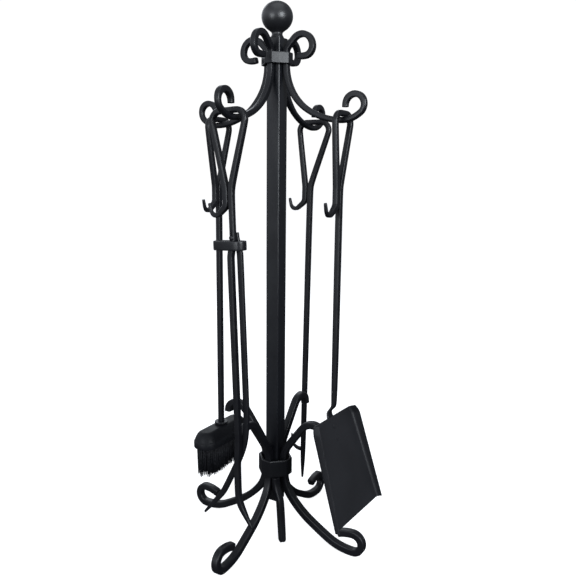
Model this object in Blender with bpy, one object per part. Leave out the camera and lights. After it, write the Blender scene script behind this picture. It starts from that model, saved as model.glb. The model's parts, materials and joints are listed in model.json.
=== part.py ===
"""Wrought-iron fireplace tool set: a four-armed stand with poker, brush, shovel and tongs.

The stand is a square post with a ball finial. Four S-shaped hanger brackets are held to its
faces by an upper collar, and four scrolled legs by a lower collar. Each tool hangs on one
bracket by the narrow triangular loop that its handle is bent into.

Frame: metres, +Z up, origin on the floor under the post's axis. The front right bracket
points along +X and the front left one along -Y.
"""
import math

import bmesh
import bpy
from mathutils import Matrix, Vector

# --- Driving dimensions (metres and degrees) ---------------------------------------------
FIT_GAP = 0.0003               # clearance between pieces that touch

POST_SIDE = 0.0222
POST_WALL = 0.0018
POST_TOP_Z = 0.7560
POST_BOTTOM_Z = 0.0540
POST_EDGE_RADIUS = 0.0012

BALL_RADIUS = 0.0214
BALL_SPREAD = 1.07               # the ball is a little wider than it is tall
NECK_RADIUS = 0.0078
NECK_HEIGHT = 0.0090           # from the flange's base to the ball's underside
FLANGE_RADIUS = 0.0098
FLANGE_HEIGHT = 0.0024
STUD_RADIUS = 0.0040
STUD_IN_BALL = 0.0180
PLUG_HEIGHT = 0.0140

BRACKET_BAR = 0.0085
BRACKET_CHAMFER = 0.0020
UPPER_COLLAR_HEIGHT = 0.0160
UPPER_COLLAR_WALL = 0.0030
UPPER_COLLAR_DROP = 0.0205     # from the post's top to the collar's top
BRACKET_SWEEP_RADIUS = 0.0750  # first bend, away from the post
BRACKET_ARM_RADIUS = 0.1150    # long flat bend out to the hook
HOOK_EASE_RADIUS = 0.0400      # between that and the hook
HOOK_RADIUS = 0.0140
HOOK_TIP = 0.0030              # straight at the hook's end
TOP_SCROLL_RADIUS = 0.0175
TOP_SCROLL_RUN = 0.0130        # straight before the top scroll

LEG_BAR = 0.0110
LEG_CHAMFER = 0.0022
LOWER_COLLAR_HEIGHT = 0.0270
LOWER_COLLAR_WALL = 0.0040
LEG_KNEE_RADIUS = 0.0520       # bend away from the post, under the collar
LEG_SWEEP_RADIUS = 0.1500
LEG_RUN = 0.0275               # straight between the sweep and the foot
FOOT_FLAT = 0.0050             # flat that stands on the floor
FOOT_LANDING_RADIUS = 0.0800
FOOT_SCROLL_RADIUS = 0.0145
LEG_SCROLL_SWEEP = 0.0350      # bend away from the post, above the collar
LEG_SCROLL_RADIUS = 0.0240
LEG_SCROLL_RUNS = {"front_right": 0.0425, "front_left": 0.0555,
                   "back_left": 0.0535, "back_right": 0.0575}

STRUT_BAR = 0.0100
STRUT_BEND_RADIUS = 0.0300
STRUT_BEND_DEG = 40.0
STRUT_TOE_DEG = 6.0            # left over from upright where it meets the floor

TOOL_BAR = 0.0082
TOOL_CHAMFER = 0.0016
HANG_GAP = 0.0009              # between a loop's top bar and the hook that carries it
LOOP_CORNER_RADIUS = 0.0130
LOOP_LENGTH = 0.1010           # from the top bar down to where the two sides meet
CURL_REACH = 0.0380            # how far the free end's hook stands off the shaft
CURL_DROP = 0.0440
CURL_TIP_SCALE = 0.55

POKER_CLEARANCE = 0.0410       # tip above the floor
POKER_POINT_LENGTH = 0.0700
BARB_BAR = 0.0060
BARB_HEIGHT = 0.0520           # root above the tip
BARB_REACH = 0.0190

BRUSH_CLEARANCE = 0.0800       # bristle ends above the floor
BRISTLE_LENGTH = 0.0540
BRISTLE_INSET = 0.0080          # bristle ends inside the cap, all round
BRUSH_LENGTH = 0.1180
BRUSH_WIDTH = 0.0420
CAP_SKIRT = 0.0110
CAP_DOME = 0.0155
CAP_WALL = 0.0014
CORE_HEIGHT = 0.0150
BRUSH_FLANGE_RADIUS = 0.0110
BRUSH_FLANGE_HEIGHT = 0.0030
SHAFT_INTO_CORE = 0.0190       # how far the shaft goes in below the cap's top

SHOVEL_CLEARANCE = 0.0740      # lip above the floor
PAN_WIDTH = 0.1150
PAN_LIP_WIDTH = 0.1320
PAN_LENGTH = 0.1480
PAN_TILT_DEG = 18.5
PAN_SHEET = 0.0016
PAN_SIDE_BACK = 0.0130         # side wall height at the back, then at the lip
PAN_SIDE_LIP = 0.0080
PAN_FLARE = 0.0005             # how far a wall's rim leans outwards
PAN_CLIP_ACROSS = 0.0050       # clipped back corners
PAN_CLIP_ALONG = 0.0090
TANG_LENGTH = 0.0440
TANG_WIDTH = 0.0240
TANG_THICKNESS = 0.0032
TANG_BEND_LIFT = 0.0060        # the shaft bends to the pan's slope this far above it
TANG_SET_BACK = 0.0065
RIVET_RADIUS = 0.0022
RIVET_HEAD_RADIUS = 0.0042
RIVET_HEAD_HEIGHT = 0.0018
RIVET_FRONT = 0.30             # the heads inside the pan are hammered almost flush

TONGS_CLEARANCE = 0.0600
TONGS_HINGE_DROP = 0.1640      # hinge below the hook
TONGS_ARM_OFFSET = 0.0052      # fixed arm beside the shaft's line
SWING_BAR = 0.0050
SWING_BAR_WIDTH = 0.0086
SWING_ARM_OFFSET = 0.0058
CLAW_HEIGHT = 0.1250           # curved part of a claw
CLAW_HOOK = 0.0180             # fixed claw's tip past its own arm
SWING_CLAW_REACH = 0.0800      # swinging claw's tip past the shaft's line
HINGE_PIN_RADIUS = 0.0019
HINGE_HEAD_RADIUS = 0.0036
HINGE_HEAD_HEIGHT = 0.0016
RING_INNER_LENGTH = 0.0460
RING_WALL = 0.0034
RING_HEIGHT = 0.0130
RING_DROP = 0.0105             # ring's middle below the hinge
RING_OFFSET = -0.0075
RING_PLAY = 0.0018             # in front of the fixed arm; it sits on the swinging one

# Direction of each bracket and leg round the post, and of each tool's loop.
AZIMUTH = {"front_right": 0.0, "back_right": 90.0, "back_left": 180.0, "front_left": 270.0}
# Then how far aside of the hook its shaft hangs, its lean, and its loop's two corners.
TOOL_PLACE = {"shovel": ("front_right", 88.0, -0.0035, -0.4, -0.0170, 0.0310),
              "poker": ("back_right", 0.0, -0.0020, -0.9, -0.0235, 0.0365),
              "brush": ("back_left", 90.0, -0.0010, 0.0, -0.0270, 0.0330),
              "tongs": ("front_left", 0.0, -0.0080, 2.4, -0.0300, 0.0315)}

# --- Sizes that follow from them ---------------------------------------------------------
POST_HALF = POST_SIDE / 2
UPPER_COLLAR_TOP = POST_TOP_Z - UPPER_COLLAR_DROP
UPPER_COLLAR_BOTTOM = UPPER_COLLAR_TOP - UPPER_COLLAR_HEIGHT
BRACKET_LINE = POST_HALF + FIT_GAP + BRACKET_BAR / 2
LEG_LINE = POST_HALF + FIT_GAP + LEG_BAR / 2


# --- Scene, materials and placing --------------------------------------------------------
def clear_scene():
    for old in list(bpy.data.objects):
        bpy.data.objects.remove(old, do_unlink=True)


def make_material(name, colour, roughness, metallic):
    material = bpy.data.materials.new(name)
    material.use_nodes = True
    shader = material.node_tree.nodes["Principled BSDF"]
    shader.inputs["Base Color"].default_value = (*colour, 1.0)
    shader.inputs["Roughness"].default_value = roughness
    shader.inputs["Metallic"].default_value = metallic
    return material


def add_object(name, mesh_builder, material, parent=None, place=None):
    """Turn a finished bmesh into a named object; a closed one gets its faces pointing out."""
    if all(edge.is_manifold for edge in mesh_builder.edges):
        bmesh.ops.recalc_face_normals(mesh_builder, faces=mesh_builder.faces)
    mesh = bpy.data.meshes.new(name)
    mesh_builder.to_mesh(mesh)
    mesh_builder.free()
    mesh.materials.append(material)
    piece = bpy.data.objects.new(name, mesh)
    bpy.context.scene.collection.objects.link(piece)
    if place is not None:
        piece.matrix_basis = place
    if parent is not None:
        piece.parent = parent
    return piece


def turned(degrees, axis="Z"):
    return Matrix.Rotation(math.radians(degrees), 4, axis)


def moved(x=0.0, y=0.0, z=0.0):
    return Matrix.Translation((x, y, z))


def smooth(piece, sharp_deg=35.0):
    piece.data.shade_smooth()
    piece.data.set_sharp_from_angle(angle=math.radians(sharp_deg))


def cut(piece, cutter):
    """Subtract a cutter object, which stays hidden."""
    cutter.hide_render = True
    cutter.display_type = "WIRE"
    boolean = piece.modifiers.new("cut_" + cutter.name, "BOOLEAN")
    boolean.operation = "DIFFERENCE"
    boolean.solver = "EXACT"
    boolean.object = cutter


# --- Centre lines of bent bars, as points (x, z) in one upright plane ------------------
def bent_line(start, heading_deg, moves, step_deg=15.0, step_length=0.012):
    """Follow straights (length,) and bends (radius, turn in degrees, left is positive)."""
    x, z = start
    heading = heading_deg
    points = [Vector((x, z))]
    for move in moves:
        if len(move) == 1:
            x += move[0] * math.cos(math.radians(heading))
            z += move[0] * math.sin(math.radians(heading))
            points.append(Vector((x, z)))
            continue
        radius, turn = move
        side = math.copysign(1.0, turn)
        arc = radius * math.radians(abs(turn))
        steps = max(2, math.ceil(abs(turn) / step_deg), math.ceil(arc / step_length))
        for index in range(1, steps + 1):
            before = math.radians(heading + turn * (index - 1) / steps)
            after = math.radians(heading + turn * index / steps)
            x += side * radius * (math.sin(after) - math.sin(before))
            z += side * radius * (math.cos(before) - math.cos(after))
            points.append(Vector((x, z)))
        heading += turn
    return points


def rounded_line(corners, step_deg=15.0):
    """A polyline through (x, z, radius) corners, with the inner corners rounded."""
    points = [Vector(corners[0][:2])]
    for before, corner, after in zip(corners, corners[1:], corners[2:]):
        here = Vector(corner[:2])
        back = (Vector(before[:2]) - here).normalized()
        ahead = (Vector(after[:2]) - here).normalized()
        turn = math.pi - back.angle(ahead)
        radius = corner[2]
        reach = radius * math.tan(turn / 2)
        centre = here + (back + ahead).normalized() * radius / math.cos(turn / 2)
        first = here + back * reach - centre
        side = math.copysign(1.0, back.x * ahead.y - back.y * ahead.x) * -1.0
        steps = max(2, math.ceil(math.degrees(turn) / step_deg))
        for index in range(steps + 1):
            angle = side * turn * index / steps
            cosine, sine = math.cos(angle), math.sin(angle)
            points.append(centre + Vector((first.x * cosine - first.y * sine,
                                           first.x * sine + first.y * cosine)))
    points.append(Vector(corners[-1][:2]))
    return points


def line_length(points):
    return sum((b - a).length for a, b in zip(points, points[1:]))


def tapered_end(points, length, end_scale):
    """Scale for each point: 1 along the line, falling to end_scale over its last stretch."""
    left = line_length(points)
    scales = [1.0]
    for before, after in zip(points, points[1:]):
        left -= (after - before).length
        share = min(1.0, left / length)
        scales.append(end_scale + (1.0 - end_scale) * share)
    return scales


def bar_mesh(points, thickness, width, chamfer, sections=None):
    """Sweep an eight-sided bar along points (x, z); its width lies along Y.

    sections, if given, holds one (thickness, width, shift along Y) for each point.
    """
    builder = bmesh.new()
    rings = []
    last = len(points) - 1
    for index, point in enumerate(points):
        ahead = (points[min(index + 1, last)] - point)
        behind = (point - points[max(index - 1, 0)])
        direction = (ahead.normalized() + behind.normalized()).normalized()
        half_turn = direction.angle(ahead if index == 0 else behind)
        across = Vector((direction.y, -direction.x)) / math.cos(half_turn)
        thick, wide, shift = sections[index] if sections else (thickness, width, 0.0)
        half_t, half_w = thick / 2, wide / 2
        edge = min(chamfer, 0.3 * thick, 0.3 * wide)
        outline = [(half_t, half_w - edge), (half_t - edge, half_w),
                   (edge - half_t, half_w), (-half_t, half_w - edge),
                   (-half_t, edge - half_w), (edge - half_t, -half_w),
                   (half_t - edge, -half_w), (half_t, edge - half_w)]
        rings.append([builder.verts.new((point.x + across.x * u, v + shift,
                                         point.y + across.y * u)) for u, v in outline])
    for ring, following in zip(rings, rings[1:]):
        for side in range(8):
            following_side = (side + 1) % 8
            builder.faces.new((ring[side], ring[following_side],
                               following[following_side], following[side]))
    builder.faces.new(rings[0])
    builder.faces.new(list(reversed(rings[-1])))
    return builder


def loft_mesh(loops):
    """Skin closed loops of equal length, capped at the first and the last."""
    builder = bmesh.new()
    rings = [[builder.verts.new(point) for point in loop] for loop in loops]
    for ring, following in zip(rings, rings[1:]):
        count = len(ring)
        for side in range(count):
            after = (side + 1) % count
            builder.faces.new((ring[side], ring[after], following[after], following[side]))
    builder.faces.new(rings[0])
    builder.faces.new(list(reversed(rings[-1])))
    return builder


def tube_mesh(outer, inner, low, high):
    """An upright tube between two flat outlines, open at both ends."""
    loops = [[(x, y, z) for x, y in outline]
             for outline, z in ((outer, low), (outer, high), (inner, high), (inner, low))]
    builder = bmesh.new()
    rings = [[builder.verts.new(point) for point in loop] for loop in loops]
    for ring, following in zip(rings, rings[1:] + rings[:1]):
        count = len(ring)
        for side in range(count):
            after = (side + 1) % count
            builder.faces.new((ring[side], ring[after], following[after], following[side]))
    return builder


def lathe_mesh(profile, steps=24):
    """Turn (radius, z) points round Z; a radius of 0 closes on the axis."""
    builder = bmesh.new()
    rings = []
    for radius, z in profile:
        count = 1 if radius == 0 else steps
        rings.append([builder.verts.new((radius * math.cos(2 * math.pi * i / steps),
                                         radius * math.sin(2 * math.pi * i / steps), z))
                      for i in range(count)])
    for ring, following in zip(rings, rings[1:]):
        for i in range(steps):
            corners = [ring[i % len(ring)], ring[(i + 1) % len(ring)],
                       following[(i + 1) % len(following)], following[i % len(following)]]
            builder.faces.new(list(dict.fromkeys(corners)))
    return builder


def rounded_square(half, radius, steps=2):
    points = []
    for quarter in range(4):
        for index in range(steps + 1):
            angle = math.radians(90 * quarter + 90 * index / steps)
            middle = math.radians(90 * quarter + 45)
            reach = (half - radius) * math.sqrt(2)
            points.append((reach * math.cos(middle) + radius * math.cos(angle),
                           reach * math.sin(middle) + radius * math.sin(angle)))
    return points


def collar_outline(flat, half_flat):
    """Eight corners: a flat over each of four bars, and a chord between them."""
    corners = []
    for quarter in range(4):
        angle = math.radians(90 * quarter)
        for tangent in (-half_flat, half_flat):
            corners.append((flat * math.cos(angle) - tangent * math.sin(angle),
                            flat * math.sin(angle) + tangent * math.cos(angle)))
    return corners


def stadium(half_length, half_width, steps=6):
    """Outline of a bar with round ends, long way along X."""
    straight = half_length - half_width
    points = []
    for end, start_deg in ((straight, -90.0), (-straight, 90.0)):
        for index in range(steps + 1):
            angle = math.radians(start_deg + 180.0 * index / steps)
            points.append((end + half_width * math.cos(angle), half_width * math.sin(angle)))
    return points


# --- Stand -------------------------------------------------------------------------------
def bracket_line():
    """Centre line of a hanger bracket, from the hook's tip to the top scroll's tip."""
    lower = bent_line((BRACKET_LINE, UPPER_COLLAR_BOTTOM), -90.0,
                      [(BRACKET_SWEEP_RADIUS, 60.0), (BRACKET_ARM_RADIUS, 28.0),
                       (HOOK_EASE_RADIUS, 42.0), (HOOK_RADIUS, 230.0), (HOOK_TIP,)])
    upper = bent_line((BRACKET_LINE, UPPER_COLLAR_TOP), 90.0,
                      [(TOP_SCROLL_RADIUS * 0.7, -45.0), (TOP_SCROLL_RUN,),
                       (TOP_SCROLL_RADIUS, -135.0), (TOP_SCROLL_RADIUS * 0.7, -80.0),
                       (TOP_SCROLL_RADIUS * 1.8, -25.0)])
    return list(reversed(lower)) + upper


def hook_seat():
    """Lowest point of the hook's centre line, as (distance from the axis, z)."""
    lowest = min(bracket_line(), key=lambda point: point.y)
    return lowest.x, lowest.y


def leg_lower_line():
    """Centre line from under the lower collar to the foot's tip, ending on the floor."""
    moves = [(LEG_KNEE_RADIUS, 38.0), (LEG_SWEEP_RADIUS, 22.0), (LEG_RUN,),
             (FOOT_LANDING_RADIUS, 30.0), (FOOT_FLAT,), (FOOT_SCROLL_RADIUS, 180.0),
             (FOOT_SCROLL_RADIUS * 4.0, 25.0)]
    line = bent_line((LEG_LINE, 0.0), -90.0, moves)
    drop = min(point.y for point in line) - LEG_BAR / 2
    return [Vector((point.x, point.y - drop)) for point in line]


def lower_collar_bottom():
    return leg_lower_line()[0].y


def leg_line(scroll_run):
    top = lower_collar_bottom() + LOWER_COLLAR_HEIGHT
    upper = bent_line((LEG_LINE, top), 90.0,
                      [(LEG_SCROLL_SWEEP, -37.0), (scroll_run,),
                       (LEG_SCROLL_RADIUS, -53.0), (LEG_SCROLL_RADIUS * 0.65, -100.0)])
    return list(reversed(leg_lower_line())) + upper


def build_post(iron):
    outer = rounded_square(POST_HALF, POST_EDGE_RADIUS)
    inner = rounded_square(POST_HALF - POST_WALL, POST_EDGE_RADIUS / 2)
    add_object("post", tube_mesh(outer, inner, POST_BOTTOM_Z, POST_TOP_Z), iron)


def build_finial(iron, steel):
    base = POST_TOP_Z + FIT_GAP
    hole = STUD_RADIUS + FIT_GAP
    ball_centre = base + NECK_HEIGHT + math.sqrt(BALL_RADIUS ** 2 - NECK_RADIUS ** 2)
    profile = [(hole, base + STUD_IN_BALL), (hole, base), (FLANGE_RADIUS - 0.0006, base),
               (FLANGE_RADIUS, base + FLANGE_HEIGHT / 2),
               (FLANGE_RADIUS - 0.0006, base + FLANGE_HEIGHT)]
    neck_low = base + FLANGE_HEIGHT
    neck_span = NECK_HEIGHT - FLANGE_HEIGHT
    for index in range(1, 5):
        share = index / 5
        dip = math.sin(math.pi * share)
        radius = NECK_RADIUS + (FLANGE_RADIUS - NECK_RADIUS) * (1 - dip) * 0.6
        profile.append((radius, neck_low + neck_span * share))
    start = math.degrees(math.asin((NECK_RADIUS + 0.0018) / BALL_RADIUS))
    rings = 12
    for index in range(rings):
        angle = math.radians(180.0 - start - (180.0 - start) * index / rings)
        profile.append((BALL_RADIUS * BALL_SPREAD * math.sin(angle),
                        ball_centre + BALL_RADIUS * math.cos(angle)))
    profile.append((0, ball_centre + BALL_RADIUS))
    profile.append((0, base + STUD_IN_BALL))
    profile = [profile[-1]] + profile[:-1]
    smooth(add_object("ball_finial", lathe_mesh(profile, 28), iron))

    plug_top = POST_TOP_Z - FIT_GAP
    plug_half = POST_HALF - POST_WALL - FIT_GAP
    round_hole = [(hole * math.cos(2 * math.pi * i / 12), hole * math.sin(2 * math.pi * i / 12))
                  for i in range(12)]
    add_object("post_top_plug", tube_mesh(rounded_square(plug_half, 0.001), round_hole,
                                          plug_top - PLUG_HEIGHT, plug_top), steel)
    stud_low = plug_top - PLUG_HEIGHT - 0.004
    stud_high = base + STUD_IN_BALL - FIT_GAP
    stud = lathe_mesh([(0, stud_low), (STUD_RADIUS, stud_low), (STUD_RADIUS, stud_high),
                       (0, stud_high)], 12)
    smooth(add_object("finial_stud", stud, steel))


def build_collar(name, line, bar, wall, low, high, iron):
    flat = line + bar / 2 + FIT_GAP
    half_flat = bar / 2 + FIT_GAP
    inner = collar_outline(flat, half_flat)
    outer = collar_outline(flat + wall, half_flat + wall * (math.sqrt(2) - 1))
    collar = add_object(name, tube_mesh(outer, inner, low, high), iron)
    bevel = collar.modifiers.new("soft_edges", "BEVEL")
    bevel.width = wall * 0.22
    bevel.segments = 1
    bevel.limit_method = "ANGLE"
    bevel.angle_limit = math.radians(60)


def build_brackets_and_legs(iron):
    line = bracket_line()
    for place, azimuth in AZIMUTH.items():
        bracket = bar_mesh(line, BRACKET_BAR, BRACKET_BAR, BRACKET_CHAMFER)
        add_object("bracket_" + place, bracket, iron, place=turned(azimuth))
        leg = bar_mesh(leg_line(LEG_SCROLL_RUNS[place]), LEG_BAR, LEG_BAR, LEG_CHAMFER)
        add_object("leg_" + place, leg, iron, place=turned(azimuth))
    build_collar("upper_collar", BRACKET_LINE, BRACKET_BAR, UPPER_COLLAR_WALL,
                 UPPER_COLLAR_BOTTOM, UPPER_COLLAR_TOP, iron)
    low = lower_collar_bottom()
    build_collar("lower_collar", LEG_LINE, LEG_BAR, LOWER_COLLAR_WALL,
                 low, low + LOWER_COLLAR_HEIGHT, iron)


def build_strut(iron):
    """A bar beside the front left leg, from under the collar out to the floor."""
    top = lower_collar_bottom() - FIT_GAP
    toe = math.radians(STRUT_TOE_DEG)
    bends = STRUT_BEND_RADIUS * (2 * math.sin(math.radians(STRUT_BEND_DEG)) - math.sin(toe))
    end = STRUT_BAR / 2 * math.sin(toe)
    straight = (top - STRUT_BAR / 2 - bends - end) / math.cos(toe)
    line = bent_line((0.0, top), -90.0, [(STRUT_BAR / 2,), (STRUT_BEND_RADIUS, STRUT_BEND_DEG),
                                         (STRUT_BEND_RADIUS, STRUT_TOE_DEG - STRUT_BEND_DEG),
                                         (straight,)])
    bar = bar_mesh(line, STRUT_BAR, STRUT_BAR, STRUT_BAR * 0.18)
    side = LEG_BAR / 2 + FIT_GAP + STRUT_BAR * 0.70
    out = POST_HALF + FIT_GAP + STRUT_BAR * 0.70
    add_object("centre_strut", bar, iron, place=moved(side, -out, 0.0) @ turned(-25.0))


# --- Tools -------------------------------------------------------------------------------
def tool_empty(tool):
    """An empty on the tool's hook, its X along the loop's top bar and its Y across it."""
    place, facing, aside, lean = TOOL_PLACE[tool][:4]
    seat_reach, seat_z = hook_seat()
    azimuth = math.radians(AZIMUTH[place])
    empty = bpy.data.objects.new(tool + "_hook_point", None)
    bpy.context.scene.collection.objects.link(empty)
    where = moved(seat_reach * math.cos(azimuth), seat_reach * math.sin(azimuth), hang_height())
    empty.matrix_basis = where @ turned(facing) @ turned(-lean, "Y") @ moved(aside, 0.0, 0.0)
    return empty


def hang_height():
    """Height of the hook's contact with a loop, which is each tool's local zero."""
    return hook_seat()[1] + BRACKET_BAR / 2 + HANG_GAP


def handle_corners(shaft_end, loop_left, loop_right):
    """Centre line of a handle from its shaft's end, round the loop, to the curled tip."""
    top = TOOL_BAR / 2
    meet = top - LOOP_LENGTH
    beside = -(TOOL_BAR + 2 * FIT_GAP)
    return [(0.0, shaft_end, 0.0), (0.0, meet, 0.060),
            (loop_right, top, LOOP_CORNER_RADIUS),
            (loop_left, top, LOOP_CORNER_RADIUS),
            (beside, meet, 0.040),
            (beside, meet - CURL_DROP * 0.55, 0.010),
            (beside - CURL_REACH * 0.62, meet - CURL_DROP, 0.009),
            (-CURL_REACH, meet - CURL_DROP * 0.45, 0.0)]


def handle_mesh(tool, shaft_end):
    line = rounded_line(handle_corners(shaft_end, *TOOL_PLACE[tool][4:]))
    scales = tapered_end(line, CURL_DROP, CURL_TIP_SCALE)
    sections = [(TOOL_BAR * scale, TOOL_BAR * scale, 0.0) for scale in scales]
    return line, sections


def build_poker(iron):
    hook = tool_empty("poker")
    tip = POKER_CLEARANCE - hang_height()
    line, sections = handle_mesh("poker", tip)
    point = [Vector((0.0, tip)), Vector((0.0, tip + POKER_POINT_LENGTH * 0.4)),
             Vector((0.0, tip + POKER_POINT_LENGTH))]
    point_sections = [(TOOL_BAR * scale, TOOL_BAR * scale, 0.0) for scale in (0.42, 0.78, 1.0)]
    rod = bar_mesh(point + line[1:], 0.0, 0.0, TOOL_CHAMFER, point_sections + sections[1:])
    add_object("poker_rod", rod, iron, hook)

    root = tip + BARB_HEIGHT
    out = TOOL_BAR / 2 + FIT_GAP
    barb_line = bent_line((-out, root), 180.0, [(BARB_BAR * 0.6,),
                                                (BARB_REACH - BARB_BAR * 0.6, -90.0),
                                                (BARB_BAR * 1.6,)])
    scales = tapered_end(barb_line, line_length(barb_line), 0.4)
    barb_sections = [(BARB_BAR * scale, BARB_BAR * scale, 0.0) for scale in scales]
    add_object("poker_barb", bar_mesh(barb_line, 0.0, 0.0, 0.0012, barb_sections), iron, hook)


def cap_loops(inset, low):
    """Loops of the domed cap, moved inwards by a wall; the first one is the open edge."""
    half_length = BRUSH_LENGTH / 2 - inset
    half_width = BRUSH_WIDTH / 2 - inset
    top_inset = BRUSH_WIDTH / 2 - 0.0050
    loops = [[(x, y, low) for x, y in stadium(half_length, half_width)]]
    steps = 5
    for index in range(steps + 1):
        angle = math.radians(90.0 * index / steps)
        shrink = (top_inset - inset) * (1.0 - math.cos(angle))
        height = low + CAP_SKIRT + (CAP_DOME - inset) * math.sin(angle)
        loops.append([(x, y, height) for x, y in stadium(half_length - shrink,
                                                         half_width - shrink)])
    return loops


def build_brush(iron, wood, bristle):
    hook = tool_empty("brush")
    tips = BRUSH_CLEARANCE - hang_height()
    core_low = tips + BRISTLE_LENGTH + FIT_GAP
    skirt_low = core_low - 0.003
    cap_top = skirt_low + CAP_SKIRT + CAP_DOME

    outer = cap_loops(0.0, skirt_low)
    inner = cap_loops(CAP_WALL, skirt_low)
    builder = bmesh.new()
    rings = [[builder.verts.new(point) for point in loop]
             for loop in list(reversed(outer)) + inner]
    for ring, following in zip(rings, rings[1:]):
        for side in range(len(ring)):
            after = (side + 1) % len(ring)
            builder.faces.new((ring[side], ring[after], following[after], following[side]))
    builder.faces.new(rings[0])
    builder.faces.new(list(reversed(rings[-1])))
    cap = add_object("brush_cap", builder, iron, hook)

    inside = CAP_WALL + FIT_GAP
    core_loop = stadium(BRUSH_LENGTH / 2 - inside, BRUSH_WIDTH / 2 - inside)
    core_high = core_low + CAP_SKIRT - 0.003
    shoulder = stadium(BRUSH_LENGTH / 2 - inside - 0.007, BRUSH_WIDTH / 2 - inside - 0.007)
    core = loft_mesh([[(x, y, core_low) for x, y in core_loop],
                      [(x, y, core_high) for x, y in core_loop],
                      [(x, y, core_high + 0.007) for x, y in shoulder]])
    core = add_object("brush_core", core, wood, hook)

    bristle_top = core_low - FIT_GAP
    upper = stadium(BRUSH_LENGTH / 2 - BRISTLE_INSET * 0.6, BRUSH_WIDTH / 2 - inside - 0.001)
    lower = stadium(BRUSH_LENGTH / 2 - BRISTLE_INSET, BRUSH_WIDTH / 2 - BRISTLE_INSET * 0.7)
    bristles = loft_mesh([[(x, y, tips) for x, y in lower],
                          [(x, y, bristle_top) for x, y in upper]])
    add_object("brush_bristles", bristles, bristle, hook)

    flange_low = cap_top + FIT_GAP
    shaft_hole = TOOL_BAR / 2 + FIT_GAP
    ring = [(BRUSH_FLANGE_RADIUS * math.cos(2 * math.pi * i / 24),
             BRUSH_FLANGE_RADIUS * math.sin(2 * math.pi * i / 24)) for i in range(24)]
    square = []
    for i in range(24):
        angle = 2 * math.pi * i / 24
        reach = shaft_hole / max(abs(math.cos(angle)), abs(math.sin(angle)))
        square.append((reach * math.cos(angle), reach * math.sin(angle)))
    flange = tube_mesh(ring, square, flange_low, flange_low + BRUSH_FLANGE_HEIGHT)
    add_object("brush_flange", flange, iron, hook)

    shaft_end = cap_top - SHAFT_INTO_CORE
    line, sections = handle_mesh("brush", shaft_end)
    add_object("brush_handle", bar_mesh(line, 0.0, 0.0, TOOL_CHAMFER, sections), iron, hook)

    hole_line = [Vector((0.0, shaft_end - FIT_GAP)), Vector((0.0, cap_top + 0.010))]
    hole = bar_mesh(hole_line, 2 * shaft_hole, 2 * shaft_hole, TOOL_CHAMFER)
    cutter = add_object("shaft_hole_guide", hole, iron, hook)
    cut(cap, cutter)
    cut(core, cutter)


def pan_back():
    """Height of the pan's back edge, in the tool's frame."""
    lip = SHOVEL_CLEARANCE - hang_height()
    return lip + PAN_LENGTH * math.cos(math.radians(PAN_TILT_DEG))


def pan_frame():
    """The pan's own frame: X across, -Y the open side, Z up its floor to the back edge."""
    slope = math.tan(math.radians(PAN_TILT_DEG))
    tang_front = TOOL_BAR / 2 - TANG_THICKNESS + TANG_SET_BACK - slope * TANG_BEND_LIFT
    face = tang_front - 1.1 * FIT_GAP - PAN_SHEET / math.cos(math.radians(PAN_TILT_DEG))
    return moved(0.0, face, pan_back()) @ turned(-PAN_TILT_DEG, "X")


def pan_mesh():
    """Folded sheet: a floor with clipped back corners, and walls that get lower to the lip."""
    half = PAN_WIDTH / 2
    stations = [(half - PAN_CLIP_ACROSS, 0.0, 0.85 * PAN_SIDE_BACK),
                (half, -PAN_CLIP_ALONG, PAN_SIDE_BACK),
                (PAN_LIP_WIDTH / 2, -PAN_LENGTH, PAN_SIDE_LIP)]
    builder = bmesh.new()
    floor_corners, folds = [], []
    for sign in (1.0, -1.0):
        low = [builder.verts.new((sign * x, 0.0, z)) for x, z, _ in stations]
        rim = [builder.verts.new((sign * (x + PAN_FLARE * height / PAN_SIDE_BACK), -height, z))
               for x, z, height in stations]
        for index in range(len(stations) - 1):
            builder.faces.new((low[index], low[index + 1], rim[index + 1], rim[index]))
        floor_corners += low if sign > 0 else list(reversed(low))
        folds.append((low, rim))
    floor = builder.faces.new(floor_corners)
    bmesh.ops.recalc_face_normals(builder, faces=builder.faces)
    if floor.normal.y > 0:
        bmesh.ops.reverse_faces(builder, faces=builder.faces)
    edges = set()
    for low, rim in folds:
        edges.update(builder.edges.get(pair) for pair in zip(low, low[1:]))
        edges.add(builder.edges.get((low[1], rim[1])))
    bmesh.ops.bevel(builder, geom=list(edges), offset=0.0040, offset_type="OFFSET",
                    segments=2, profile=0.5, affect="EDGES")
    return builder


def rivet_mesh(radius, head_radius, head_height, grip, front=1.0):
    """A rivet along Y: a head on each side of a grip that starts at Y = 0."""
    low, high = -FIT_GAP, grip + FIT_GAP
    rise = head_height * front
    profile = [(0, low - rise), (head_radius * 0.6, low - rise * 0.85),
               (head_radius, low - rise * 0.25), (head_radius, low), (radius, low),
               (radius, high), (head_radius, high), (head_radius, high + head_height * 0.25),
               (head_radius * 0.6, high + head_height * 0.85), (0, high + head_height)]
    builder = lathe_mesh(profile, 12)
    bmesh.ops.transform(builder, matrix=turned(-90.0, "X"), verts=builder.verts)
    return builder


def drill(piece, name, place, radius, length, material, parent):
    """Cut a round hole along Y at a place in the tool's frame."""
    bore = lathe_mesh([(0, -length), (radius, -length), (radius, length), (0, length)], 12)
    bmesh.ops.transform(bore, matrix=turned(-90.0, "X"), verts=bore.verts)
    cutter = add_object(name, bore, material, parent, place)
    for body in piece:
        cut(body, cutter)


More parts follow.
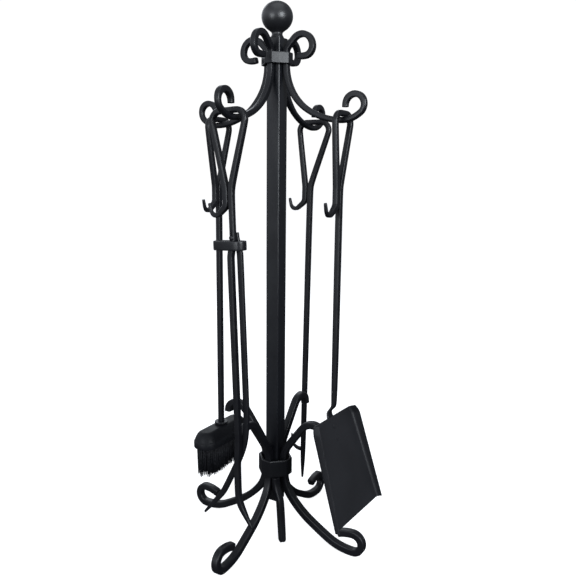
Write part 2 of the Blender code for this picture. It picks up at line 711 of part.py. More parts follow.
def build_shovel(iron, steel):
    hook = tool_empty("shovel")
    back = pan_back()
    bend = back + TANG_BEND_LIFT
    tang_end = back - TANG_LENGTH
    slope = math.tan(math.radians(PAN_TILT_DEG))
    rest = (TOOL_BAR - TANG_THICKNESS) / 2 + TANG_SET_BACK

    line, sections = handle_mesh("shovel", tang_end)
    tang = [(tang_end, TANG_WIDTH * 0.55, TANG_THICKNESS),
            (tang_end + 0.006, TANG_WIDTH * 0.85, TANG_THICKNESS),
            (back - 0.014, TANG_WIDTH, TANG_THICKNESS),
            (bend, TANG_WIDTH * 0.5, TANG_THICKNESS),
            (bend + 0.010, TOOL_BAR * 0.85, TOOL_BAR * 0.85),
            (bend + 0.024, TOOL_BAR, TOOL_BAR)]
    points, tang_sections = [], []
    for z, across, deep in tang:
        points.append(Vector((0.0, z)))
        on_pan = rest - slope * (bend - z)
        tang_sections.append((across, deep, on_pan if z <= bend else (TOOL_BAR - deep) / 2))
    handle = bar_mesh(points + line[1:], 0.0, 0.0, TOOL_CHAMFER, tang_sections + sections[1:])
    handle = add_object("shovel_handle", handle, iron, hook)

    frame = pan_frame()
    pan = add_object("shovel_pan", pan_mesh(), iron, hook, frame)
    sheet = pan.modifiers.new("sheet", "SOLIDIFY")
    sheet.thickness = PAN_SHEET
    sheet.offset = -1.0
    sheet.use_even_offset = True

    tang_deep = TANG_THICKNESS * math.cos(math.radians(PAN_TILT_DEG)) + 1.1 * FIT_GAP
    for index, drop in enumerate((0.014, 0.032)):
        spot = frame @ moved(0.0, 0.0, -drop)
        drill([handle, pan], f"pan_rivet_guide_{index + 1}", spot,
              RIVET_RADIUS + FIT_GAP, 0.01, steel, hook)
        rivet = rivet_mesh(RIVET_RADIUS, RIVET_HEAD_RADIUS, RIVET_HEAD_HEIGHT,
                           tang_deep + PAN_SHEET, RIVET_FRONT)
        smooth(add_object(f"pan_rivet_{index + 1}", rivet, steel, hook, spot))


def build_tongs(iron, steel):
    hook = tool_empty("tongs")
    tip = TONGS_CLEARANCE - hang_height()
    hinge = -TONGS_HINGE_DROP
    arm = -TONGS_ARM_OFFSET

    line, sections = handle_mesh("tongs", hinge)
    claw = rounded_line([(CLAW_HOOK + arm, tip, 0.0),
                         (arm - 0.0045, tip + CLAW_HEIGHT * 0.30, 0.050),
                         (arm - 0.0035, tip + CLAW_HEIGHT * 0.75, 0.120),
                         (arm, tip + CLAW_HEIGHT, 0.120),
                         (arm, hinge - 0.026, 0.030),
                         (0.0, hinge - 0.004, 0.030),
                         (0.0, hinge + 0.020, 0.0)])
    claw_scales = list(reversed(tapered_end(list(reversed(claw)), 0.035, 0.55)))
    claw_sections = [(TOOL_BAR * scale, TOOL_BAR * scale, 0.0) for scale in claw_scales]
    handle = bar_mesh(claw + line[1:], 0.0, 0.0, TOOL_CHAMFER, claw_sections + sections[1:])
    handle = add_object("tongs_handle", handle, iron, hook)

    behind = TOOL_BAR / 2 + FIT_GAP + SWING_BAR / 2
    swing = rounded_line([(-SWING_CLAW_REACH, tip, 0.0),
                          (-SWING_CLAW_REACH * 0.52, tip + CLAW_HEIGHT * 0.33, 0.090),
                          (SWING_ARM_OFFSET * 0.5, tip + CLAW_HEIGHT * 0.98, 0.110),
                          (SWING_ARM_OFFSET, tip + CLAW_HEIGHT * 1.35, 0.120),
                          (SWING_ARM_OFFSET, hinge - 0.022, 0.040),
                          (0.0, hinge + 0.002, 0.040),
                          (0.0, hinge + 0.007, 0.0)])
    swing_scales = list(reversed(tapered_end(list(reversed(swing)), 0.040, 0.45)))
    swing_sections = [(SWING_BAR_WIDTH * scale, SWING_BAR * scale, behind)
                      for scale in swing_scales]
    local_hinge = moved(0.0, 0.0, hinge)
    swing_mesh = bar_mesh(swing, 0.0, 0.0, 0.0012, swing_sections)
    bmesh.ops.transform(swing_mesh, matrix=local_hinge.inverted(), verts=swing_mesh.verts)
    swing_arm = add_object("tongs_swing_arm", swing_mesh, iron, hook, local_hinge)

    drill([handle, swing_arm], "hinge_pin_guide", local_hinge,
          HINGE_PIN_RADIUS + FIT_GAP, 0.02, steel, hook)
    grip = TOOL_BAR + FIT_GAP + SWING_BAR
    pin = rivet_mesh(HINGE_PIN_RADIUS, HINGE_HEAD_RADIUS, HINGE_HEAD_HEIGHT, grip)
    place = local_hinge @ moved(0.0, -TOOL_BAR / 2, 0.0)
    smooth(add_object("tongs_hinge_pin", pin, steel, hook, place))

    front = -TOOL_BAR / 2 - RING_PLAY
    back = TOOL_BAR / 2 + FIT_GAP + SWING_BAR + FIT_GAP
    depth = back - front
    inner = stadium(RING_INNER_LENGTH / 2, depth / 2, 5)
    outer = stadium(RING_INNER_LENGTH / 2 + RING_WALL, depth / 2 + RING_WALL, 5)
    ring = tube_mesh(outer, inner, -RING_HEIGHT / 2, RING_HEIGHT / 2)
    place = moved(RING_OFFSET, (front + back) / 2, hinge - RING_DROP)
    ring = add_object("tongs_ring", ring, iron, hook, place)
    bevel = ring.modifiers.new("soft_edges", "BEVEL")
    bevel.width = RING_WALL * 0.3
    bevel.segments = 2
    bevel.limit_method = "ANGLE"
    bevel.angle_limit = math.radians(60)


def build():
    clear_scene()
    iron = make_material("black_iron", (0.018, 0.019, 0.022), 0.48, 0.35)
    steel = make_material("dark_steel", (0.05, 0.05, 0.055), 0.4, 0.8)
    wood = make_material("brush_wood", (0.06, 0.045, 0.035), 0.7, 0.0)
    bristle = make_material("black_bristle", (0.010, 0.010, 0.011), 0.7, 0.0)
    build_post(iron)
    build_finial(iron, steel)
    build_brackets_and_legs(iron)
    build_strut(iron)
    build_poker(iron)
    build_brush(iron, wood, bristle)
    build_shovel(iron, steel)
    build_tongs(iron, steel)


build()
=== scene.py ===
import json
import math
import random

import bmesh
import bpy
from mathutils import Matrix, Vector

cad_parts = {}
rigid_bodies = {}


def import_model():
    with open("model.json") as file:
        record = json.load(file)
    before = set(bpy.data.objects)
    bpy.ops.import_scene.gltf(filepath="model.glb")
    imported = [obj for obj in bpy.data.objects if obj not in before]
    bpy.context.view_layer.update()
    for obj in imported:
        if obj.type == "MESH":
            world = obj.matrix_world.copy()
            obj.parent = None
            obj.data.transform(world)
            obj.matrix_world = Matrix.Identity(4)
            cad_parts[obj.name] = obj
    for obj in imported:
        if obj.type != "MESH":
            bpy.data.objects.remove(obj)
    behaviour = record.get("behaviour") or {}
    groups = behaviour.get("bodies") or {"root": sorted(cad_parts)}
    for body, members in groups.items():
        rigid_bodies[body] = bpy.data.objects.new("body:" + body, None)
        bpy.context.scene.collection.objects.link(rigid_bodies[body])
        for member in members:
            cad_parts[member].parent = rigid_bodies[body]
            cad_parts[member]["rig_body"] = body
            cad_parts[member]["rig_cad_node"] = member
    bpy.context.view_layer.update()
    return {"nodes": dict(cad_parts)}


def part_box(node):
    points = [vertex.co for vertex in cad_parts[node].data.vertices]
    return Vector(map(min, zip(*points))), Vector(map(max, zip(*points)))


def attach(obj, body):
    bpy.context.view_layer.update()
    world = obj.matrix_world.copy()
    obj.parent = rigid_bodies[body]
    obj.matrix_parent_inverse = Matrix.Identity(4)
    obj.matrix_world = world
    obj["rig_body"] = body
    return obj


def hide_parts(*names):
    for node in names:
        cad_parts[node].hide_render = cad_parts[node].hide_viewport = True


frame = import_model()


# --- Hanger brackets ----------------------------------------------------------------------
# Four S-shaped hooks of square bar, forged hot round a jig and powder coated satin black.
# The hammer leaves shallow flats, and the corners of the bar come out soft.
HANGER_PLACES = ("front_right", "front_left", "back_left", "back_right")


def take_up(piece):
    """Select one piece alone."""
    bpy.ops.object.select_all(action="DESELECT")
    piece.select_set(True)
    bpy.context.view_layer.objects.active = piece


def apply_modifier(piece, kind, **settings):
    """Add a modifier with these settings and make its result the mesh."""
    take_up(piece)
    modifier = piece.modifiers.new(kind.lower(), kind)
    for key, value in settings.items():
        setattr(modifier, key, value)
    bpy.ops.object.modifier_apply(modifier=modifier.name)


def work_copy(node, name):
    """A welded copy of a CAD piece, in quads, ready to be worked on."""
    take_up(frame["nodes"][node])
    bpy.ops.object.duplicate()
    piece = bpy.context.active_object
    piece.name = name
    piece.data.name = name
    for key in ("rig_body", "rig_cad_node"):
        if key in piece:
            del piece[key]
    bpy.ops.object.parent_clear(type="CLEAR_KEEP_TRANSFORM")
    bpy.ops.object.mode_set(mode="EDIT")
    bpy.ops.mesh.select_all(action="SELECT")
    bpy.ops.mesh.customdata_custom_splitnormals_clear()
    bpy.ops.mesh.remove_doubles(threshold=0.00002)
    bpy.ops.mesh.tris_convert_to_quads(face_threshold=math.radians(10),
                                       shape_threshold=math.radians(120))
    bpy.ops.object.mode_set(mode="OBJECT")
    return piece


CHAMFER_TURNS = (math.radians(28), math.radians(62))
CORNER_TURN = math.radians(24)
WORN_HEIGHT = 0.646             # where loops and hooks rub, the bars stay rounder
WORN_REACH = 0.012


def square_up(bar, keep=0.45):
    """Push a bar's chamfered corners out towards a true square, to leave a small radius."""
    shape = bmesh.new()
    shape.from_mesh(bar.data)
    along = {edge for edge in shape.edges if len(edge.link_faces) == 2
             and CHAMFER_TURNS[0] < edge.calc_face_angle() < CHAMFER_TURNS[1]}
    sides = {face for edge in along for face in edge.link_faces}
    flat_of, corner_of = {}, {}
    for vertex in shape.verts:
        ring = [edge for edge in vertex.link_edges
                if edge not in along and any(face in sides for face in edge.link_faces)]
        if len(ring) == 2:
            short, long = sorted(ring, key=lambda edge: edge.calc_length())
            if short.calc_length() < 0.85 * long.calc_length():
                corner_of[vertex], flat_of[vertex] = short, long
    moves = {}
    for vertex, corner in corner_of.items():
        if corner_of.get(corner.other_vert(vertex)) is corner:
            outward = (vertex.co - flat_of[vertex].other_vert(vertex).co).normalized()
            fresh = (abs(vertex.co.z - WORN_HEIGHT) - WORN_REACH) / WORN_REACH
            fresh = min(1.0, max(0.0, fresh))
            moves[vertex] = outward * corner.calc_length() / math.sqrt(2) * (1 - keep) * fresh
    for vertex, move in moves.items():
        vertex.co += move
    shape.to_mesh(bar.data)
    shape.free()
    bar.data.update()


def forge_bar(node, name, body, coat, rounds=2, crispness=0.42, squared=True):
    """Round a bar's bends and ease its corners, but keep its four flats."""
    bar = work_copy(node, name)
    if squared:
        square_up(bar)
    bpy.ops.object.mode_set(mode="EDIT")
    bpy.ops.mesh.select_mode(type="EDGE")
    bpy.ops.mesh.select_all(action="DESELECT")
    bpy.ops.mesh.edges_select_sharp(sharpness=CORNER_TURN)
    bpy.ops.transform.edge_crease(value=crispness)
    bpy.ops.mesh.select_mode(type="VERT")
    bpy.ops.object.mode_set(mode="OBJECT")
    apply_modifier(bar, "SUBSURF", levels=rounds, render_levels=rounds)
    bpy.ops.object.shade_smooth()
    bar.data.materials.clear()
    bar.data.materials.append(coat)
    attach(bar, body)
    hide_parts(node)
    return bar


def mix_in(nodes, links, name, low, high, factor):
    """A colour mixed between two by a factor socket."""
    mix = nodes.new("ShaderNodeMix")
    mix.label = name
    mix.data_type = "RGBA"
    mix.inputs["A"].default_value = (*low, 1)
    mix.inputs["B"].default_value = (*high, 1)
    links.new(factor, mix.inputs["Factor"])
    return mix.outputs["Result"]


def ramp_between(nodes, links, source, low, high, start=0.0, end=1.0):
    """A number that goes from start to end while the source goes from low to high."""
    ramp = nodes.new("ShaderNodeMapRange")
    ramp.inputs["From Min"].default_value = low
    ramp.inputs["From Max"].default_value = high
    ramp.inputs["To Min"].default_value = start
    ramp.inputs["To Max"].default_value = end
    links.new(source, ramp.inputs["Value"])
    return ramp.outputs["Result"]


def noise_of(nodes, links, where, scale, detail=3.0, roughness=0.5):
    """Cloudy noise over the piece, from 0 to 1."""
    noise = nodes.new("ShaderNodeTexNoise")
    noise.inputs["Scale"].default_value = scale
    noise.inputs["Detail"].default_value = detail
    noise.inputs["Roughness"].default_value = roughness
    links.new(where, noise.inputs["Vector"])
    return noise.outputs["Fac"]


def bump_over(nodes, links, height, depth, strength, under=None):
    """A bump of this depth in metres, laid over another one if it is given."""
    bump = nodes.new("ShaderNodeBump")
    bump.inputs["Distance"].default_value = depth
    bump.inputs["Strength"].default_value = strength
    links.new(height, bump.inputs["Height"])
    if under is not None:
        links.new(under, bump.inputs["Normal"])
    return bump.outputs["Normal"]


DENT_DEPTH = 0.0012
PEEL_DEPTH = 0.0001
PEEL_SIZE = 1300.0              # orange peel cells in a metre


def powder_coat(name, dark, light, edge_wear_and_highlight, rough, hammer, hammer_size=70.0, gloss=0.36,
                mottle=1.0):
    """Satin powder coat: fine orange peel over hammered metal, with the edges painted lighter, as
    rubbed wear and as a painted edge highlight.
    """
    coat = bpy.data.materials.new(name)
    coat.use_nodes = True
    nodes, links = coat.node_tree.nodes, coat.node_tree.links
    shader = nodes["Principled BSDF"]
    shader.inputs["Specular IOR Level"].default_value = gloss
    where = nodes.new("ShaderNodeTexCoord").outputs["Object"]
    cloud = noise_of(nodes, links, where, 14.0, 4.0)
    body = mix_in(nodes, links, "coat", dark, light,
                  ramp_between(nodes, links, cloud, 0.35, 0.65))
    # Convex edges are painted lighter: partly rubbed wear, partly a painted highlight along the
    # edges.
    edge = nodes.new("ShaderNodeNewGeometry").outputs["Pointiness"]
    wear_and_sheen_noise = noise_of(nodes, links, where, 160.0, 5.0, 0.65)
    edge_wear_and_highlight_mask = nodes.new("ShaderNodeMath")
    edge_wear_and_highlight_mask.operation = "MULTIPLY"
    links.new(ramp_between(nodes, links, edge, 0.53, 0.62), edge_wear_and_highlight_mask.inputs[0])
    links.new(ramp_between(nodes, links, wear_and_sheen_noise, 0.42, 0.62), edge_wear_and_highlight_mask.inputs[1])
    finish = nodes.new("ShaderNodeMix")
    finish.data_type = "RGBA"
    finish.inputs["B"].default_value = (*edge_wear_and_highlight, 1)
    links.new(edge_wear_and_highlight_mask.outputs[0], finish.inputs["Factor"])
    links.new(body, finish.inputs["A"])
    links.new(finish.outputs["Result"], shader.inputs["Base Color"])
    patch = noise_of(nodes, links, where, 38.0, 4.0, 0.6)
    links.new(ramp_between(nodes, links, patch, 0.3, 0.7, rough - 0.06 * mottle,
                           rough + 0.08 * mottle), shader.inputs["Roughness"])
    dents = nodes.new("ShaderNodeTexVoronoi")
    dents.feature = "SMOOTH_F1"
    dents.inputs["Scale"].default_value = hammer_size
    dents.inputs["Smoothness"].default_value = 0.9
    links.new(where, dents.inputs["Vector"])
    hammered = bump_over(nodes, links, dents.outputs["Distance"], DENT_DEPTH, hammer)
    peel = noise_of(nodes, links, where, PEEL_SIZE, 2.0)
    links.new(bump_over(nodes, links, peel, PEEL_DEPTH, 0.16, hammered),
              shader.inputs["Normal"])
    return coat


# The third colour is the edge colour: rubbed wear together with a painted edge highlight.
forged_black = powder_coat("forged_black_coat", (0.0040, 0.0043, 0.0058),
                           (0.0064, 0.0068, 0.0090), (0.026, 0.027, 0.032), 0.36, 0.10)
for place in HANGER_PLACES:
    forge_bar("bracket_" + place, "hanger_" + place, "stand", forged_black)


# --- Legs and strut -----------------------------------------------------------------------
# Heavier square bar, scrolled at both ends and welded to the post inside the lower collar.
# The strut is a straight offcut with two bends that props the post's front corner.
for place in HANGER_PLACES:
    forge_bar("leg_" + place, "scroll_leg_" + place, "stand", forged_black)
forge_bar("centre_strut", "prop_strut", "stand", forged_black)


# --- Post ---------------------------------------------------------------------------------
# Cold-rolled square tube, open at the foot, with small rolled corners. It is smoother than
# the forged bars, so its coat shows only orange peel and faint rolling waves.
POST_CORNER = 0.0019
POST_SHEET = 0.0018
tube_coat = powder_coat("tube_black_coat", (0.0036, 0.0042, 0.0060), (0.0050, 0.0058, 0.0080),
                        (0.0060, 0.0068, 0.0092), 0.33, 0.004, 24.0, 0.50, 0.5)
low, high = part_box("post")
bpy.ops.object.select_all(action="DESELECT")
bpy.ops.mesh.primitive_cube_add(size=1.0, location=(low + high) / 2, scale=high - low)
post = bpy.context.active_object
post.name = "square_post"
bpy.ops.object.transform_apply(location=True, rotation=True, scale=True)
bpy.ops.object.mode_set(mode="EDIT")
bpy.ops.mesh.select_mode(type="FACE")
bpy.ops.mesh.select_all(action="DESELECT")
bpy.ops.object.mode_set(mode="OBJECT")
for face in post.data.polygons:
    face.select = abs(face.normal.z) > 0.5
bpy.ops.object.mode_set(mode="EDIT")
bpy.ops.mesh.delete(type="FACE")
bpy.ops.mesh.select_mode(type="EDGE")
bpy.ops.mesh.select_all(action="DESELECT")
bpy.ops.object.mode_set(mode="OBJECT")
for edge in post.data.edges:
    ends = [post.data.vertices[i].co for i in edge.vertices]
    edge.select = abs(ends[0].z - ends[1].z) > 0.1
bpy.ops.object.mode_set(mode="EDIT")
bpy.ops.mesh.bevel(offset=POST_CORNER, segments=6, profile=0.5, affect="EDGES")
bpy.ops.mesh.select_mode(type="VERT")
bpy.ops.object.mode_set(mode="OBJECT")
apply_modifier(post, "SOLIDIFY", thickness=POST_SHEET, offset=-1.0, use_even_offset=True)
bpy.ops.object.shade_smooth_by_angle(angle=math.radians(40))
apply_modifier(post, "WEIGHTED_NORMAL", keep_sharp=True, weight=80)
post.data.materials.append(tube_coat)
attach(post, "stand")
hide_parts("post")


# --- Ball finial --------------------------------------------------------------------------
# A cast ball on a turned neck and flange, screwed down on a stud in the post's top plug.
# The casting keeps a slightly pebbled skin under the coat.
cast_black = powder_coat("cast_black_coat", (0.0085, 0.0088, 0.0104), (0.0120, 0.0124, 0.0144),
                         (0.034, 0.036, 0.041), 0.35, 0.03, 260.0, 0.62, 0.5)
ball = forge_bar("ball_finial", "cast_ball", "stand", cast_black, squared=False)
plain_steel = powder_coat("dark_steel_coat", (0.030, 0.030, 0.033), (0.045, 0.045, 0.050),
                          (0.09, 0.09, 0.095), 0.36, 0.05, 90.0, 0.5)
for hidden_node in ("post_top_plug", "finial_stud"):
    frame["nodes"][hidden_node].data.materials.clear()
    frame["nodes"][hidden_node].data.materials.append(plain_steel)


# --- Collars ------------------------------------------------------------------------------
# Flat strap folded hot round the post and its four bars, eight-sided, with the edges eased.
def ease_edges(node, name, body, coat, width, angle_deg=30.0, segments=3):
    """Round the sharp edges of a flat-sided piece and leave its flats flat."""
    piece = work_copy(node, name)
    apply_modifier(piece, "DECIMATE", decimate_type="DISSOLVE", angle_limit=math.radians(1))
    apply_modifier(piece, "BEVEL", width=width, segments=segments, limit_method="ANGLE",
                   angle_limit=math.radians(angle_deg), harden_normals=False)
    bpy.ops.object.shade_smooth_by_angle(angle=math.radians(50))
    apply_modifier(piece, "WEIGHTED_NORMAL", keep_sharp=True, weight=80)
    piece.data.materials.clear()
    piece.data.materials.append(coat)
    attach(piece, body)
    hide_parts(node)
    return piece


strap_black = powder_coat("strap_black_coat", (0.0044, 0.0048, 0.0062), (0.0064, 0.0069, 0.0088),
                          (0.0090, 0.0096, 0.0120), 0.36, 0.05, 90.0, 0.34, 0.7)
ease_edges("upper_collar", "top_strap_collar", "stand", strap_black, 0.0007)
ease_edges("lower_collar", "foot_strap_collar", "stand", strap_black, 0.0009)


# --- Poker --------------------------------------------------------------------------------
# One length of square bar, drawn out to a point, with a small barb welded on. Its top is
# bent into the long three-cornered loop that every tool hangs by, ending in a curl.
forge_bar("poker_rod", "poker_bar", "poker", forged_black)
forge_bar("poker_barb", "poker_spur", "poker", forged_black)


# --- Brush --------------------------------------------------------------------------------
# A pressed sheet cap holds a dark block with rows of stiff black fibre tufts. The handle
# goes through a small flange into the block.
forge_bar("brush_handle", "brush_bar", "brush", forged_black)
ease_edges("brush_flange", "brush_ferrule", "brush", forged_black, 0.0006, 60.0)

CAP_SKIRT = 0.0105
CAP_SHEET = 0.0014
low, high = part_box("brush_cap")
cap_middle = (low + high) / 2
half_width = (high.x - low.x) / 2
straight = (high.y - low.y) / 2 - half_width
dome = high.z - low.z - CAP_SKIRT
bpy.ops.object.select_all(action="DESELECT")
bpy.ops.mesh.primitive_circle_add(vertices=64, radius=half_width, fill_type="NGON",
                                  location=(cap_middle.x, cap_middle.y, low.z))
cap = bpy.context.active_object
cap.name = "brush_shell"
bpy.ops.object.transform_apply(location=True, rotation=True, scale=True)
for side in (1, -1):
    bpy.ops.object.mode_set(mode="EDIT")
    bpy.ops.mesh.select_all(action="DESELECT")
    bpy.ops.object.mode_set(mode="OBJECT")
    for vertex in cap.data.vertices:
        vertex.select = (vertex.co.y - cap_middle.y) * side > 0.00001
    bpy.ops.object.mode_set(mode="EDIT")
    bpy.ops.transform.translate(value=(0, side * straight, 0))
bpy.ops.mesh.select_all(action="SELECT")
bpy.ops.mesh.extrude_region_move(TRANSFORM_OT_translate={"value": (0, 0, CAP_SKIRT - 0.0012)})
bpy.ops.mesh.inset(thickness=0.0004, depth=0.0)
bpy.ops.transform.translate(value=(0, 0, 0.0006))
bpy.ops.mesh.inset(thickness=0.0006, depth=0.0)
bpy.ops.transform.translate(value=(0, 0, 0.0006))
crown = half_width - 0.0085
springing = 32.0
steps = 9
for step in range(steps):
    before, after = (math.radians(springing + (90.0 - springing) * s / steps)
                     for s in (step, step + 1))
    share_in = (math.cos(before) - math.cos(after)) / math.cos(math.radians(springing))
    share_up = ((math.sin(after) - math.sin(before))
                / (1 - math.sin(math.radians(springing))))
    bpy.ops.mesh.inset(thickness=crown * share_in, depth=0.0)
    bpy.ops.transform.translate(value=(0, 0, (dome - 0.0012) * share_up))
bpy.ops.mesh.select_mode(type="FACE")
bpy.ops.mesh.select_all(action="DESELECT")
bpy.ops.object.mode_set(mode="OBJECT")
for face in cap.data.polygons:
    face.select = face.normal.z < -0.9
bpy.ops.object.mode_set(mode="EDIT")
bpy.ops.mesh.delete(type="FACE")
bpy.ops.mesh.select_mode(type="VERT")
bpy.ops.object.mode_set(mode="OBJECT")
apply_modifier(cap, "SOLIDIFY", thickness=CAP_SHEET, offset=-1.0, use_even_offset=True)
apply_modifier(cap, "BEVEL", width=0.0004, segments=2, limit_method="ANGLE",
               angle_limit=math.radians(60))
bpy.ops.object.shade_smooth_by_angle(angle=math.radians(50))
pressed_black = powder_coat("pressed_black_coat", (0.0052, 0.0056, 0.0070),
                            (0.0080, 0.0086, 0.0106), (0.026, 0.028, 0.032), 0.44, 0.06, 30.0,
                            0.15)
cap.data.materials.append(pressed_black)
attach(cap, "brush")
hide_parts("brush_cap")

block_stain = bpy.data.materials.new("block_stain")
block_stain.use_nodes = True
nodes, links = block_stain.node_tree.nodes, block_stain.node_tree.links
where = nodes.new("ShaderNodeTexCoord").outputs["Object"]
stretch = nodes.new("ShaderNodeMapping")
stretch.inputs["Scale"].default_value = (1.0, 0.12, 1.0)
links.new(where, stretch.inputs["Vector"])
grain = noise_of(nodes, links, stretch.outputs["Vector"], 420.0, 6.0, 0.65)
shade = mix_in(nodes, links, "grain", (0.012, 0.009, 0.007), (0.030, 0.021, 0.015), grain)
links.new(shade, nodes["Principled BSDF"].inputs["Base Color"])
nodes["Principled BSDF"].inputs["Roughness"].default_value = 0.72
links.new(bump_over(nodes, links, grain, 0.0003, 0.4), nodes["Principled BSDF"].inputs["Normal"])
frame["nodes"]["brush_core"].data.materials.clear()
frame["nodes"]["brush_core"].data.materials.append(block_stain)

fibre = bpy.data.materials.new("black_fibre")
fibre.use_nodes = True
nodes, links = fibre.node_tree.nodes, fibre.node_tree.links
where = nodes.new("ShaderNodeTexCoord").outputs["Object"]
tone = noise_of(nodes, links, where, 300.0, 3.0)
links.new(mix_in(nodes, links, "fibre", (0.0050, 0.0053, 0.0068), (0.0150, 0.0158, 0.0190),
                 ramp_between(nodes, links, tone, 0.35, 0.65)),
          nodes["Principled BSDF"].inputs["Base Color"])
nodes["Principled BSDF"].inputs["Roughness"].default_value = 0.55
nodes["Principled BSDF"].inputs["Specular IOR Level"].default_value = 0.2

low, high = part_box("brush_bristles")
length = high.z - low.z
lay = random.Random(7)
STRANDS, TUFT_RADIUS, STRAND_LEAN = 15, 0.0030, 0.0022
STRAND_TIP, STRAND_ROOT = 0.00042, 0.00062
strands = []
for _ in range(STRANDS):
    bpy.ops.object.select_all(action="DESELECT")
    angle, reach = lay.uniform(0, 2 * math.pi), TUFT_RADIUS * math.sqrt(lay.random())
    own_length = length * lay.uniform(0.90, 1.0)
    bpy.ops.mesh.primitive_cone_add(vertices=5, radius1=STRAND_TIP, radius2=STRAND_ROOT,
                                    depth=own_length, end_fill_type="TRIFAN",
                                    location=(reach * math.cos(angle), reach * math.sin(angle),
                                              -own_length / 2))
    strand = bpy.context.active_object
    bpy.ops.object.transform_apply(location=True, rotation=True, scale=True)
    lean = Vector((lay.uniform(-1, 1), lay.uniform(-1, 1))) * STRAND_LEAN
    for vertex in strand.data.vertices:
        down = -vertex.co.z / length
        vertex.co.x += lean.x * down ** 1.6
        vertex.co.y += lean.y * down ** 1.6
    strands.append(strand)
bpy.ops.object.select_all(action="DESELECT")
for strand in strands:
    strand.select_set(True)
bpy.context.view_layer.objects.active = strands[0]
bpy.ops.object.join()
tuft = bpy.context.active_object
tuft.name = "first_tuft"
bristle_middle = (low + high) / 2
root_half_x = (high.x - low.x) / 2 - TUFT_RADIUS
root_half_y = (high.y - low.y) / 2 - TUFT_RADIUS
rows, columns = 6, 19
tufts = []
for row in range(rows):
    for column in range(columns):
        across = (row / (rows - 1) - 0.5) * 2
        along = ((column + 0.5 * (row % 2) * 0.9) / (columns - 0.55) - 0.5) * 2
        end_room = max(0.0, abs(along) * root_half_y - (root_half_y - root_half_x))
        if end_room and math.hypot(end_room, across * root_half_x) > root_half_x * 1.06:
            continue
        copy = tuft.copy()
        copy.data = tuft.data.copy()
        bpy.context.scene.collection.objects.link(copy)
        turn = lay.uniform(0, 2 * math.pi)
        short = lay.uniform(0.94, 1.0) - 0.17 * (along * 0.5 + 0.5) ** 0.8
        flare_x, flare_y = across * -0.0010, along * -0.0022
        root = Vector((bristle_middle.x + across * root_half_x,
                       bristle_middle.y + along * root_half_y, high.z))
        cosine, sine = math.cos(turn), math.sin(turn)
        for vertex in copy.data.vertices:
            x, y, z = vertex.co
            down = -z / length
            vertex.co = (root.x + x * cosine - y * sine + flare_x * down,
                         root.y + x * sine + y * cosine + flare_y * down,
                         root.z + z * short)
        tufts.append(copy)
bpy.data.objects.remove(tuft, do_unlink=True)
bpy.ops.object.select_all(action="DESELECT")
for copy in tufts:
    copy.select_set(True)
bpy.context.view_layer.objects.active = tufts[0]
bpy.ops.object.join()
bristles = bpy.context.active_object
bristles.name = "fibre_tufts"
bpy.ops.object.shade_smooth()
bristles.data.materials.clear()
bristles.data.materials.append(fibre)
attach(bristles, "brush")
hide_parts("brush_bristles")


# --- Shovel -------------------------------------------------------------------------------
# A folded sheet pan with clipped back corners. The handle's end is forged flat and held to
# the pan's floor by two rivets.
forge_bar("shovel_handle", "shovel_bar", "shovel", forged_black)
sheet_black = powder_coat("sheet_black_coat", (0.0100, 0.0104, 0.0124),
                          (0.0140, 0.0146, 0.0172), (0.0165, 0.0172, 0.0200), 0.46, 0.03, 22.0,
                          0.40, 0.6)
pan = ease_edges("shovel_pan", "ash_pan", "shovel", sheet_black, 0.0004, 60.0, 2)
for number in ("1", "2"):
    forge_bar("pan_rivet_" + number, "pan_rivet_head_" + number, "shovel", sheet_black, 1,
              squared=False)


# --- Tongs --------------------------------------------------------------------------------
# The handle's bar runs on as one arm. The second arm is lapped behind it on a riveted pin,
# and a flat ring, fixed to that arm, keeps the two together.
forge_bar("tongs_handle", "tongs_bar", "tongs", forged_black)
forge_bar("tongs_swing_arm", "tongs_second_bar", "tongs_arm", forged_black)
forge_bar("tongs_hinge_pin", "tongs_rivet", "tongs", forged_black, 1, squared=False)
forge_bar("tongs_ring", "keeper_ring", "tongs_arm", forged_black, 1, squared=False)


# --- Floor, light and camera --------------------------------------------------------------
# A white floor, a bright room all round, and soft panels above and to both sides.
bpy.ops.object.select_all(action="DESELECT")
bpy.ops.mesh.primitive_plane_add(size=60.0, location=(0, 0, -0.0004))
floor = bpy.context.active_object
floor.name = "studio_floor"
white = bpy.data.materials.new("studio_white")
white.use_nodes = True
white.node_tree.nodes["Principled BSDF"].inputs["Base Color"].default_value = (0.86, 0.86, 0.86, 1)
white.node_tree.nodes["Principled BSDF"].inputs["Roughness"].default_value = 0.9
white.node_tree.nodes["Principled BSDF"].inputs["Specular IOR Level"].default_value = 0.0
white.node_tree.nodes["Principled BSDF"].inputs["Emission Color"].default_value = (1, 1, 1, 1)
white.node_tree.nodes["Principled BSDF"].inputs["Emission Strength"].default_value = 0.70
floor.data.materials.append(white)
floor.visible_diffuse = False
floor.visible_glossy = False

room = bpy.data.worlds.new("bright_room")
room.use_nodes = True
nodes, links = room.node_tree.nodes, room.node_tree.links
room_light = nodes["Background"]
room_light.inputs["Color"].default_value = (0.88, 0.92, 1.0, 1)
look = nodes.new("ShaderNodeTexCoord").outputs["Generated"]
split = nodes.new("ShaderNodeSeparateXYZ")
links.new(look, split.inputs[0])
height = nodes.new("ShaderNodeValToRGB")
height.color_ramp.elements[0].position = 0.32
height.color_ramp.elements[0].color = (0.07, 0.07, 0.07, 1)
height.color_ramp.elements[1].position = 0.66
height.color_ramp.elements[1].color = (1, 1, 1, 1)
middle = height.color_ramp.elements.new(0.47)
middle.color = (0.42, 0.42, 0.42, 1)
zenith = height.color_ramp.elements.new(0.95)
zenith.color = (0.35, 0.35, 0.35, 1)
links.new(ramp_between(nodes, links, split.outputs["Z"], -1.0, 1.0), height.inputs["Fac"])
side = nodes.new("ShaderNodeVectorMath")
side.operation = "DOT_PRODUCT"
side.inputs[1].default_value = (-0.55, -0.83, 0.0)
links.new(look, side.inputs[0])
level = nodes.new("ShaderNodeMath")
level.operation = "MULTIPLY"
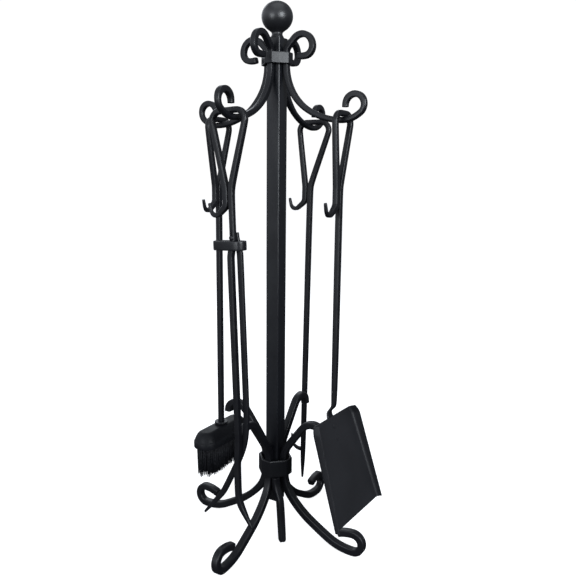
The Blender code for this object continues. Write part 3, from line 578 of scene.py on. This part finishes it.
links.new(height.outputs["Color"], level.inputs[0])
links.new(ramp_between(nodes, links, side.outputs["Value"], -0.8, 0.9, 0.30, 1.15),
          level.inputs[1])
links.new(level.outputs[0], room_light.inputs["Strength"])
paper = nodes.new("ShaderNodeBackground")
paper.inputs["Color"].default_value = (1.0, 1.0, 1.0, 1)
paper.inputs["Strength"].default_value = 1.05
choose = nodes.new("ShaderNodeMixShader")
links.new(nodes.new("ShaderNodeLightPath").outputs["Is Camera Ray"], choose.inputs[0])
links.new(room_light.outputs[0], choose.inputs[1])
links.new(paper.outputs[0], choose.inputs[2])
links.new(choose.outputs[0], nodes["World Output"].inputs["Surface"])
bpy.context.scene.world = room


def soft_panel(name, place, aim, size, power):
    lamp = bpy.data.lights.new(name, "AREA")
    lamp.shape = "RECTANGLE"
    lamp.size, lamp.size_y = size
    lamp.energy = power
    lamp.color = (0.90, 0.95, 1.0)
    panel = bpy.data.objects.new(name, lamp)
    bpy.context.scene.collection.objects.link(panel)
    panel.location = place
    panel.rotation_euler = (Vector(aim) - Vector(place)).to_track_quat("-Z", "Y").to_euler()


soft_panel("right_panel", (1.86, -0.85, 0.98), (0.0, 0.0, 0.68), (1.00, 0.90), 38.0)
soft_panel("left_panel", (-0.13, -1.95, 0.66), (0.0, 0.0, 0.60), (0.80, 0.80), 13.0)
soft_panel("top_panel", (0.35, -0.30, 2.40), (0.0, 0.0, 0.60), (1.8, 1.8), 9.0)
soft_panel("back_panel", (-1.50, 1.30, 1.50), (0.0, 0.0, 0.50), (1.4, 1.4), 9.0)

lens = bpy.data.cameras.new("still_camera")
lens.lens = 39.66
lens.sensor_width = 36.0
lens.clip_start, lens.clip_end = 0.05, 60.0
camera = bpy.data.objects.new("still_camera", lens)
bpy.context.scene.collection.objects.link(camera)
camera.location = (0.5127, -0.8000, 0.5612)
camera.rotation_euler = (math.radians(80.139), math.radians(-0.435), math.radians(31.632))
bpy.context.scene.camera = camera
bpy.context.scene.view_settings.view_transform = "Standard"
